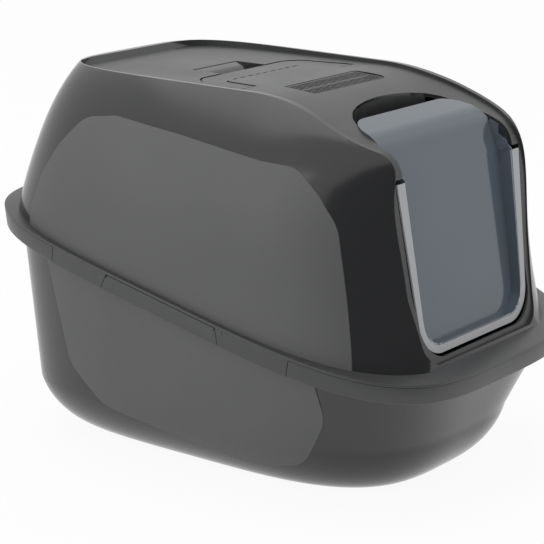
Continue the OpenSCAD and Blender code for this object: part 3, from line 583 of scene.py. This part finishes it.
def handle_pocket():
    tub = prism(handle_plan(pocket_gap), pocket_floor, pocket_floor + 40, "z")
    ends = mirrored(lambda: rod_x(handle_y, handle_z, handle_end_r + handle_gap,
                                  arm_in - handle_gap, handle_half + handle_gap))
    bores = mirrored(lambda: rod_x(handle_y, handle_z, handle_pin_r + play, handle_half, handle_half + 8))
    low_y = handle_back - bar_depth
    side_view = [(handle_back + scoop_l, total_h), (handle_back + scoop_l, handle_top),
                 (handle_back + scoop_l - scoop_run, handle_top - scoop_drop),
                 (handle_back, scoop_low), (low_y + 6, scoop_low), (low_y + 2, pocket_floor + 1),
                 (low_y + 2, pocket_floor + 2), (handle_back + 1, pocket_floor + 3),
                 (handle_back + 1, total_h)]
    bowl = prism(loop(side_view, [0, 0, 30, 12, 5, 0, 0, 0, 0]), -scoop_w / 2, scoop_w / 2, "x")
    return add(tub, bowl, *ends, *bores)

# %% [markdown]
# ## The vent's seat and the filter box
# The grille drops into a shallow seat in the sloping roof. Under it hangs an open box, whose
# front wall shows through the gap above the door, and the filter holder hinges on its two ears.

# %% Build the filter box
vent_w, vent_l, vent_back, grille_t, seat_gap = 148.0, 50.0, -50.0, 2.4, 0.4
box_front, box_half, box_low, box_wall = -133.0, 82.0, 438.0, 2.5
holder_half, holder_pin_r = 57.0, 2.0
vent_z = height_at(saddle_line, vent_back)
vent_tilt = math.atan((vent_z - height_at(saddle_line, vent_back - vent_l)) / vent_l)
vent_place = Matrix.Translation((0, vent_back * MM, (vent_z - 0.4) * MM))
vent_frame = vent_place @ Matrix.Rotation(vent_tilt, 4, "X")
holder_y = vent_back + 4
holder_z = box_low + holder_pin_r + 1
ear_r = holder_pin_r + 1.8

def vent_plan(m):
    w = vent_w / 2 + m
    corners = [(-w, m), (w, m), (w + 3, -vent_l - m), (-w - 3, -vent_l - m)]
    return loop(corners, [6 + m, 6 + m, 14 + m, 14 + m], 10)

def in_vent(m, low, high):
    piece = prism(vent_plan(m), low, high, "z")
    piece.data.transform(vent_frame)
    return piece

def filter_box():
    box_back = holder_y + 2 * ear_r
    box = add(block(-box_half, box_half, box_front, box_back, box_low, total_h),
              in_vent(3, -grille_t - seat_gap - 2, 1 - grille_t - seat_gap))
    inner = box_half - box_wall
    cut(box, block(-inner, inner, box_front + box_wall, box_back - box_wall, box_low + box_wall,
                   vent_z - 8.4),
        block(-holder_half - 0.6, holder_half + 0.6, box_front - 1, holder_y + ear_r, box_low - 1,
              box_low + box_wall + 6),
        block(-inner, inner, box_front + box_wall, vent_back - vent_l, box_low + box_wall, total_h - over))
    common(box, under(sunk_line(1)))
    x0, x1 = holder_half + 0.6, holder_half + 7
    y0, y1 = holder_y - ear_r, holder_y + ear_r
    ears = mirrored(lambda: add(rod_x(holder_y, holder_z, ear_r, x0, x1),
                                block(x0, x1, y0, y1, holder_z, holder_z + ear_r)))
    return add(box, *ears)

def vent_hole():
    return in_vent(0, -grille_t - seat_gap, over), in_vent(-4, -over, over)

# %% [markdown]
# ## The foot, the wings and the centring rib
# The hood's foot is a thin flange that lies on the tray. A rib under it finds the tray's inner
# edge, and on each side two wings hang down beside the clip, with ears that carry its hinge.

# %% Build the hood's lower parts
def wing_set():
    zone = stretch(bay_v0 + clip_gap, bay_v1 - clip_gap, 0, over, band_h + over)
    skirt = common(zone, band_layer(0, band_t, flange_t / 2, band_h))
    cut(skirt, inside_of(bay_in - seat_gap),
        stretch(-clip_half - clip_gap, clip_half + clip_gap, clip_flare, -flange_t, band_h + over))
    web = common(stretch(bay_v0 + clip_gap, bay_v1 - clip_gap, 0, -0.3, flange_t - 0.3),
                 cut(inside_of(flange_side / 2), inside_of(bay_in - seat_gap)))
    ears = []
    for v0 in (ear_v, -ear_v - ear_l):
        neck = block(hinge_x - barrel_r, hinge_x + barrel_r, v0, v0 + ear_l, hinge_w, -1)
        neck.data.transform(rim_frame)
        ears += [hinge_rod(barrel_r, v0, v0 + ear_l), neck]
    return add(skirt, web, *ears)

def centring_rib():
    rib = band_layer(band_t + 1, 2, 1, rib_h)
    return cut(rib, *mirrored(lambda: stretch(bay_v0 - wall - 1, bay_v1 + wall + 1, 0, over, band_h + over)))

# %% [markdown]
# ## The hood
# The shell is the outer loft with its foot, less the same loft one wall smaller. The side panels
# are raised by a millimetre, and the lower parts join it before the bores are cut, so that every
# bore goes through all that it should.

# %% Put the hood together
hood_panel = loop(side_view([(0.71, -0.3), (0.7, 0.295), (0.65, 0.475), (0.57, 0.65), (0.475, 0.795),
                             (0.335, 0.82), (0.02, 0.775), (-0.345, 0.71), (-0.485, 0.7), (-0.58, 0.59),
                             (-0.655, 0.45), (-0.7, 0.1), (-0.75, -0.3)], rim_h, total_h),
                  [0, 60, 60, 60, 30, 60, 100, 40, 40, 60, 60, 60, 0])

def hood_shell():
    outline = prism(hood_panel, -rim_w, rim_w, "x")
    body = loft(body_rings(0, flange_t / 2))
    raised = marked(loft(body_rings(-panel_rise, flange_t / 3)), PANEL)
    add(body, common(raised, marked(outline, PANEL)))
    common(body, under(ridge_line))
    foot = loft([band_ring(flange_t, 0)] + [band_ring(drop, inset) for drop, inset in edge_turn()])
    add(body, marked(foot, BAND))
    cavity = loft([foot_ring(over, wall)] + body_rings(wall, flange_t / 2))
    cut(body, common(cavity, under(sunk_line(wall))), marked(saddle_cut(), ROOF), *door_openings())
    return body

hood = hood_shell()
print("hood shell has", len(hood.data.polygons), "faces")
wings = [marked(wing, BAND) for wing in mirrored(wing_set)]
add(hood, centring_rib(), *wings, opening_return(), opening_lip(), *mirrored(door_lug),
    handle_housing(), filter_box())
cut(hood, *mirrored(lambda: hinge_rod(clip_pin_r + play, clip_half, ear_v + ear_l - 1)),
    *mirrored(lambda: hinge_rod(clip_pin_r + play, 1 - ear_v - ear_l, -clip_half)),
    *mirrored(lambda: rod_x(pivot_y, pivot_z, pivot_r + play, door_neck - 1, door_neck + 7.6)),
    handle_pocket(), *vent_hole(),
    *mirrored(lambda: rod_x(holder_y, holder_z, holder_pin_r + play, holder_half - 1, holder_half + 6)))
hood.name = "hood_shell"
print("hood has", len(hood.data.polygons), "faces")

# %% [markdown]
# ## The swing door
# The door is one thin, dished moulding: a flat panel set back inside a flange, with its top bent
# over towards the roof. Its side view is extruded across, then trimmed to the front outline.

# %% Build the door
door_line = path([(door_top_y, height_at(saddle_line, door_top_y)), (-205, 431), (-220, 419),
                  (pivot_y + 4, pivot_z - 8), (flange_y(door_low) + door_dish, door_low)],
                 [0, 40, 25, 20, 0], 12)

def door_sheet(line, t):
    return prism(line + list(reversed(even(line, t))), -rim_w / 2, rim_w / 2, "x")

def tub_prism(m):
    top = flange_half(door_flange_top) - door_flange_w - m
    low = door_half_low - door_flange_foot - m
    base = door_low + door_flange_low + m
    r = door_round - door_flange_low - m
    corners = [(-low, base), (low, base), (top, door_flange_top + 1), (-top, door_flange_top + 1)]
    y0, y1 = -rim_l / 2, door_top_y + over
    neck = block(m - door_neck, door_neck - m, y0, y1, door_flange_top + 0.5, door_flange_top + 80)
    return add(prism(loop(corners, [r, r, 0, 0], 16), y0, y1, "y"), neck)

def door_tub():
    cheek = [(flange_y(386), 386), (flange_y(door_low), door_low),
             (flange_y(door_low) + door_dish + door_t, door_low), (pivot_y + 4 + door_t, pivot_z - 8),
             (-226, door_flange_top + 18), (-236, door_flange_top + 18)]
    walls = cut(prism(cheek, -rim_w / 2, rim_w / 2, "x"), tub_prism(door_t))
    hem = cut(door_sheet(door_line, 3 * door_t), prism(door_plan(-door_t), 0, total_h, "z"))
    crest = [(y, height_at(saddle_line, y) - rim_drop) for y in range(-174, -236, -6)]
    crest = [p for p in crest if p[1] > height_at(door_line, p[0]) + 1]
    start = crest[0][0]
    seam = [p for p in reversed(door_line) if p[1] > door_flange_top and p[0] < start]
    upper = crest + [(-236, door_flange_top)] + seam + [(start, height_at(door_line, start))]
    rim = cut(prism(upper, -rim_w / 2, rim_w / 2, "x"), prism(door_plan(-door_t), 0, total_h, "z"))
    sheet = add(door_sheet(door_line, door_t), walls, hem, rim)
    return common(sheet, tub_prism(0), prism(door_plan(0), 0, total_h, "z"))

def door_flange():
    face = [(flange_y(door_flange_top), door_flange_top), (flange_y(door_low), door_low)]
    outline = prism(door_front(0, 0, door_round, door_flange_top), -rim_l / 2, door_top_y, "y")
    return common(door_sheet(face, door_t), cut(outline, tub_prism(door_t)))

door = add(door_tub(), marked(door_flange(), PANEL),
           *mirrored(lambda: rod_x(pivot_y, pivot_z, boss_r, door_neck - 4, door_neck)),
           *mirrored(lambda: rod_x(pivot_y, pivot_z, pivot_r, door_neck - 1, door_neck + 7)))
door.name = "door_flap"
print("door has", len(door.data.polygons), "faces")

# %% [markdown]
# ## The handle, the clips and the filter
# The handle is a flat bow with finger scallops, hollow underneath. Each clip is a slice of the rim
# band on a hinge barrel. The filter is a block of carbon foam that lies in its holder.

# %% Build the handle
def handle_bow():
    bow = prism(handle_plan(0), handle_top - handle_t, handle_top, "z")
    for i in range(9):
        x, y = (i - 4) * 15, handle_back - bar_depth - 6
        turns = [2 * math.pi * k / 48 for k in range(48)]
        cut(bow, prism([(x + 9 * math.cos(t), y + 9 * math.sin(t)) for t in turns],
                       handle_top - handle_t - 1, handle_top + 1, "z"))
    rounded = add(rod_x(handle_y, handle_z, handle_end_r, -rim_w / 2, rim_w / 2),
                  block(-rim_w / 2, rim_w / 2, handle_y, rim_l / 2, 0, total_h))
    common(bow, rounded)
    hollow = common(prism(handle_plan(-3.4), handle_top - handle_t - 1, handle_top - 3, "z"),
                    block(-rim_w / 2, rim_w / 2, handle_y + handle_end_r, rim_l, 0, total_h))
    return add(cut(bow, hollow),
               *mirrored(lambda: rod_x(handle_y, handle_z, handle_pin_r, handle_half - 6, handle_half + 7)))

handle = handle_bow()
handle.name = "handle_bow"
print("handle has", len(handle.data.polygons), "faces")

# %% [markdown]
# ## The side clips
# A clip is a plate that follows the band, a barrel for its hinge pin and a lip that catches the
# tray's bead. The right one is built and the left one is its mirror image.

# %% Build the clips
def clip_body():
    plate = common(stretch(-clip_half, clip_half, clip_flare, hinge_w, band_h + over),
                   band_layer(0, band_t, 0, band_h))
    lip = common(stretch(-bead_half, bead_half, 0, -lip_top, band_h + over),
                 band_layer(0.5, bay_in, lip_top - 2, band_h))
    body = add(plate, hinge_rod(barrel_r, -clip_half, clip_half), lip)
    cut(body, inside_of(bay_in - bead_rise - 0.3))
    return add(body, hinge_rod(clip_pin_r, -ear_v - ear_l + 2, ear_v + ear_l - 2))

clip_right, clip_left = mirrored(clip_body)
clip_right.name, clip_left.name = "clip_right_plate", "clip_left_plate"
print("clip has", len(clip_right.data.polygons), "faces")

# %% [markdown]
# ## Shared surface effects
# Moulded plastic is never quite even: the mould's texture leaves a fine grain, the gloss changes a
# little from place to place, and the colour is a touch uneven. Each effect is a node group with
# named sockets, so every finish can use it at its own scale and strength.

# %% Build the shared node groups
def new_group(name, inputs, outputs):
    tree = bpy.data.node_groups.new(name, "ShaderNodeTree")
    for label, kind, value in inputs:
        socket = tree.interface.new_socket(name=label, in_out="INPUT", socket_type=kind)
        socket.default_value = value
    for label, kind in outputs:
        tree.interface.new_socket(name=label, in_out="OUTPUT", socket_type=kind)
    return tree, tree.nodes.new("NodeGroupInput"), tree.nodes.new("NodeGroupOutput")

def noise_node(tree, place, detail):
    where = tree.nodes.new("ShaderNodeTexCoord")
    noise = tree.nodes.new("ShaderNodeTexNoise")
    noise.inputs["Detail"].default_value = detail
    tree.links.new(where.outputs["Object"], noise.inputs["Vector"])
    tree.links.new(place.outputs["Scale"], noise.inputs["Scale"])
    return noise

def uneven_gloss():
    sockets = [("Scale", "NodeSocketFloat", 9.0), ("Low", "NodeSocketFloat", 0.2),
               ("High", "NodeSocketFloat", 0.3)]
    tree, enter, leave = new_group("uneven_gloss", sockets, [("Roughness", "NodeSocketFloat")])
    noise, spread = noise_node(tree, enter, 4), tree.nodes.new("ShaderNodeMapRange")
    tree.links.new(noise.outputs["Fac"], spread.inputs["Value"])
    spread.inputs["From Min"].default_value, spread.inputs["From Max"].default_value = 0.3, 0.7
    tree.links.new(enter.outputs["Low"], spread.inputs["To Min"])
    tree.links.new(enter.outputs["High"], spread.inputs["To Max"])
    tree.links.new(spread.outputs["Result"], leave.inputs["Roughness"])
    return tree

def uneven_colour():
    tree, enter, leave = new_group("uneven_colour", [("Scale", "NodeSocketFloat", 6.0),
        ("Color", "NodeSocketColor", (0.1, 0.1, 0.1, 1)), ("Second", "NodeSocketColor", (0.1, 0.1, 0.1, 1))],
        [("Color", "NodeSocketColor")])
    noise, blend = noise_node(tree, enter, 6), tree.nodes.new("ShaderNodeMix")
    blend.data_type = "RGBA"
    tree.links.new(noise.outputs["Fac"], blend.inputs["Factor"])
    tree.links.new(enter.outputs["Color"], blend.inputs[6])
    tree.links.new(enter.outputs["Second"], blend.inputs[7])
    tree.links.new(blend.outputs[2], leave.inputs["Color"])
    return tree

def mould_grain():
    tree, enter, leave = new_group("mould_grain", [("Scale", "NodeSocketFloat", 900.0)],
                                   [("Height", "NodeSocketFloat")])
    noise = noise_node(tree, enter, 2)
    tree.links.new(noise.outputs["Fac"], leave.inputs["Height"])
    return tree

def foam_cells():
    tree, enter, leave = new_group("foam_cells", [("Scale", "NodeSocketFloat", 700.0)],
                                   [("Height", "NodeSocketFloat")])
    where, cells = tree.nodes.new("ShaderNodeTexCoord"), tree.nodes.new("ShaderNodeTexVoronoi")
    tree.links.new(where.outputs["Object"], cells.inputs["Vector"])
    tree.links.new(enter.outputs["Scale"], cells.inputs["Scale"])
    tree.links.new(cells.outputs["Distance"], leave.inputs["Height"])
    return tree

gloss_group, colour_group = uneven_gloss(), uneven_colour()
grain_group, foam_group = mould_grain(), foam_cells()
print("groups:", [tree.name for tree in (gloss_group, colour_group, grain_group, foam_group)])

# %% [markdown]
# ## The finishes
# The hood and the tray are one dark grey plastic with three textures from the mould: a glossy
# edge, a matt panel on each side, and a fine grain over the roof. The rim band and the clips are
# the glossy plastic with a rougher gloss and a lighter colour, and that lighter colour is painted
# light for their upright faces. The door is smoke tinted and lets some light through, and its
# flange is frosted.

# %% Mix the finishes
def finish(name, colour, second, gloss, relief, cells=grain_group, scale=900.0, **more):
    """A plastic with uneven colour and gloss, and a relief of the given depth in metres."""
    material = bpy.data.materials.new(name)
    material.use_nodes = True
    nodes, links = material.node_tree.nodes, material.node_tree.links
    shader = nodes["Principled BSDF"]
    tone, rough, bumps, bump = [nodes.new(kind) for kind in
                                ("ShaderNodeGroup", "ShaderNodeGroup", "ShaderNodeGroup", "ShaderNodeBump")]
    tone.node_tree, rough.node_tree, bumps.node_tree = colour_group, gloss_group, cells
    tone.inputs["Color"].default_value, tone.inputs["Second"].default_value = (*colour, 1), (*second, 1)
    rough.inputs["Low"].default_value, rough.inputs["High"].default_value = gloss
    bumps.inputs["Scale"].default_value = scale
    bump.inputs["Distance"].default_value, bump.inputs["Strength"].default_value = relief, 0.6
    links.new(tone.outputs["Color"], shader.inputs["Base Color"])
    links.new(rough.outputs["Roughness"], shader.inputs["Roughness"])
    links.new(bumps.outputs["Height"], bump.inputs["Height"])
    links.new(bump.outputs["Normal"], shader.inputs["Normal"])
    for socket, value in more.items():
        shader.inputs[socket.replace("_", " ")].default_value = value
    return material

glossy_shell = finish("glossy_shell", (0.022, 0.0225, 0.024), (0.027, 0.0275, 0.029), (0.13, 0.2), 0.00002,
                      scale=300.0)
matt_shell = finish("matt_shell", (0.085, 0.086, 0.088), (0.093, 0.094, 0.096), (0.5, 0.58), 0.00012)
grained_shell = finish("grained_shell", (0.033, 0.034, 0.035), (0.04, 0.041, 0.042), (0.36, 0.44), 0.0001)
# Painted light: the rim band's base colour is the glossy shell plastic made about twice as light, standing
# for the light on its upright faces, with a rougher gloss.
band_shell_painted_light = finish("band_shell_painted_light", (0.044, 0.045, 0.046), (0.051, 0.052, 0.053), (0.3, 0.38), 0.00005)
handle_plastic = finish("handle_plastic", (0.03, 0.031, 0.033), (0.036, 0.037, 0.039), (0.35, 0.45), 0.0001)
grille_plastic = finish("grille_plastic", (0.035, 0.036, 0.038), (0.043, 0.044, 0.046), (0.4, 0.5), 0.0025,
                         foam_group, 420.0)
smoke_plastic = finish("smoke_plastic", (0.125, 0.155, 0.19), (0.145, 0.175, 0.21), (0.06, 0.1), 0.00001,
                       scale=200.0, Transmission_Weight=0.35, IOR=1.49)
frosted_plastic = finish("frosted_plastic", (0.34, 0.35, 0.36), (0.38, 0.39, 0.4), (0.3, 0.4), 0.00003)
carbon_foam = finish("carbon_foam", (0.02, 0.02, 0.021), (0.035, 0.035, 0.037), (0.85, 0.95), 0.0006,
                     foam_group, 450.0)
print("finishes:", [m.name for m in bpy.data.materials])

# %% [markdown]
# ## The filter pad
# Behind the vent lies a slab of black open-cell foam. The frame says how much room it has, and
# rounding every edge of that block a little gives the soft edge that cut foam has.

# %% Make the foam pad
def round_edges(piece, width):
    form = bmesh.new()
    form.from_mesh(piece.data)
    bmesh.ops.bevel(form, geom=form.edges[:], offset=width, segments=3, profile=0.5, affect="EDGES")
    form.to_mesh(piece.data)
    form.free()

pad_low, pad_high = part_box("filter_pad")
pad = block(*[value / MM for pair in zip(pad_low, pad_high) for value in pair])
pad.name = "foam_pad"
pad_edge = 1.4 * MM
round_edges(pad, pad_edge)
print("pad has", len(pad.data.polygons), "faces")

# %% [markdown]
# ## Dressing the pieces
# Every piece now gets its finishes, rides on its body and stands for its CAD node. The vent
# grille and the filter holder keep their CAD shapes and only get a better material.

# %% Dress the pieces
def smooth(piece, angle=28):
    mesh = piece.data
    mesh.polygons.foreach_set("use_smooth", [True] * len(mesh.polygons))
    mesh.set_sharp_from_angle(angle=math.radians(angle))

def dress(piece, body, slot, *materials):
    for index in range(len(piece.data.materials)):
        piece.data.materials[index] = materials[min(index, len(materials) - 1)]
    smooth(piece)
    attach(piece, body)
    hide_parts(body)

# The fourth shell finish is the rim band's painted light colour.
shell_finishes = (glossy_shell, matt_shell, grained_shell, band_shell_painted_light)
marked(clip_left, BAND)
marked(clip_right, BAND)
dress(tray, "tray", "shell", *shell_finishes)
dress(hood, "hood", "shell", *shell_finishes)
dress(door, "door", "door_plastic", smoke_plastic, frosted_plastic, smoke_plastic)
dress(handle, "handle", "dark_plastic", handle_plastic)
dress(clip_left, "clip_left", "shell", *shell_finishes)
dress(clip_right, "clip_right", "shell", *shell_finishes)
for index in range(len(pad.data.materials)):
    pad.data.materials[index] = carbon_foam
smooth(pad)
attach(pad, "filter_holder")
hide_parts("filter_pad")
for node, material in (("vent_grille", grille_plastic), ("filter_holder", handle_plastic)):
    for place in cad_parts[node].material_slots:
        place.material = material

# %% [markdown]
# ## The lamps
# Two large soft lamps, one above and one on the left, light the box at a plain level. Large lamps
# give the broad soft highlights that a matt plastic shows in a studio.

# %% Place the lamps
def lamp(name, place, aim, size, power):
    data = bpy.data.lights.new(name, "AREA")
    data.shape, data.size, data.energy = "SQUARE", size, power
    thing = bpy.data.objects.new(name, data)
    thing.location = place
    thing.rotation_euler = (Vector(aim) - Vector(place)).to_track_quat("-Z", "Y").to_euler()
    bpy.context.collection.objects.link(thing)

lamp("top_softbox", (-0.2, 0.6, 2.6), (0, 0, 0.2), 1.8, 14)
lamp("side_softbox", (-2.6, 0.9, 1.5), (0, 0, 0.2), 1.4, 10)

# %% [markdown]
# ## The white background
# The photograph's background is pure white. More light would only bleach the box, so the floor
# and the world show white to the camera, and to reflections, by the kind of ray that meets them.
# The floor keeps a little of its painted surface, which carries the box's faint shadow.

# %% Tell which rays see white
def seen_directly(tree):
    """1 for what the camera sees, itself or through a reflection or the smoke door, else 0."""
    nodes, links = tree.nodes, tree.links
    path_node = nodes.new("ShaderNodeLightPath")
    total = None
    for ray in ("Is Camera Ray", "Is Glossy Ray", "Is Transmission Ray"):
        if total is None:
            total = path_node.outputs[ray]
            continue
        either = nodes.new("ShaderNodeMath")
        either.operation = "MAXIMUM"
        links.new(total, either.inputs[0])
        links.new(path_node.outputs[ray], either.inputs[1])
        total = either.outputs["Value"]
    return total

def sheet_of(name, corners, material):
    mesh = bpy.data.meshes.new(name)
    mesh.from_pydata(corners, [], [(0, 1, 2, 3)])
    thing = bpy.data.objects.new(name, mesh)
    bpy.context.collection.objects.link(thing)
    mesh.materials.append(material)
    return thing

# %% Lay the floor
floor_material = bpy.data.materials.new("pale_floor")
floor_material.use_nodes = True
nodes, links = floor_material.node_tree.nodes, floor_material.node_tree.links
paint, out = nodes["Principled BSDF"], nodes["Material Output"]
paint.inputs["Base Color"].default_value = (0.9, 0.9, 0.9, 1)
paint.inputs["Roughness"].default_value = 0.9
glow = nodes.new("ShaderNodeEmission")
blend = nodes.new("ShaderNodeMixShader")
share = nodes.new("ShaderNodeMath")
share.operation = "MULTIPLY"
white_share = 0.93
share.inputs[1].default_value = white_share
links.new(seen_directly(floor_material.node_tree), share.inputs[0])
links.new(share.outputs["Value"], blend.inputs["Fac"])
links.new(paint.outputs["BSDF"], blend.inputs[1])
links.new(glow.outputs["Emission"], blend.inputs[2])
links.new(blend.outputs["Shader"], out.inputs["Surface"])
floor_reach = 6.0
sheet_of("floor", [(x * floor_reach, y * floor_reach, 0) for x, y in ((-1, -1), (1, -1), (1, 1), (-1, 1))],
         floor_material)

# %% [markdown]
# ## The black card
# The front left corner of the box is dark in the photograph, because it mirrors the dark part of
# the studio behind the camera. A black card out of sight does the same, as a photographer's would.

# %% Stand the black card
card_material = bpy.data.materials.new("black_card")
card_material.use_nodes = True
felt = card_material.node_tree.nodes["Principled BSDF"]
felt.inputs["Base Color"].default_value = (0.01, 0.01, 0.01, 1)
felt.inputs["Roughness"].default_value = 0.9
card_left, card_right, card_low, card_high = (-1.35, -0.42), (0.33, -0.98), 0.001, 0.9
card = sheet_of("black_card", [(*card_left, card_low), (*card_right, card_low), (*card_right, card_high),
                               (*card_left, card_high)], card_material)
card.visible_camera = False
card.visible_diffuse = False
card.visible_shadow = False
card.visible_transmission = False

# %% Set the world
world = bpy.data.worlds.new("world")
bpy.context.scene.world = world
world.use_nodes = True
nodes, links = world.node_tree.nodes, world.node_tree.links
sky, out = nodes["Background"], nodes["World Output"]
white, blend = nodes.new("ShaderNodeBackground"), nodes.new("ShaderNodeMixShader")
sky.inputs["Color"].default_value = (1, 1, 1, 1)
sky.inputs["Strength"].default_value = 0.8
white.inputs["Color"].default_value = (1, 1, 1, 1)
white.inputs["Strength"].default_value = 1.0
links.new(seen_directly(world.node_tree), blend.inputs["Fac"])
links.new(sky.outputs["Background"], blend.inputs[1])
links.new(white.outputs["Background"], blend.inputs[2])
links.new(blend.outputs["Shader"], out.inputs["Surface"])
bpy.context.scene.view_settings.view_transform = "Standard"
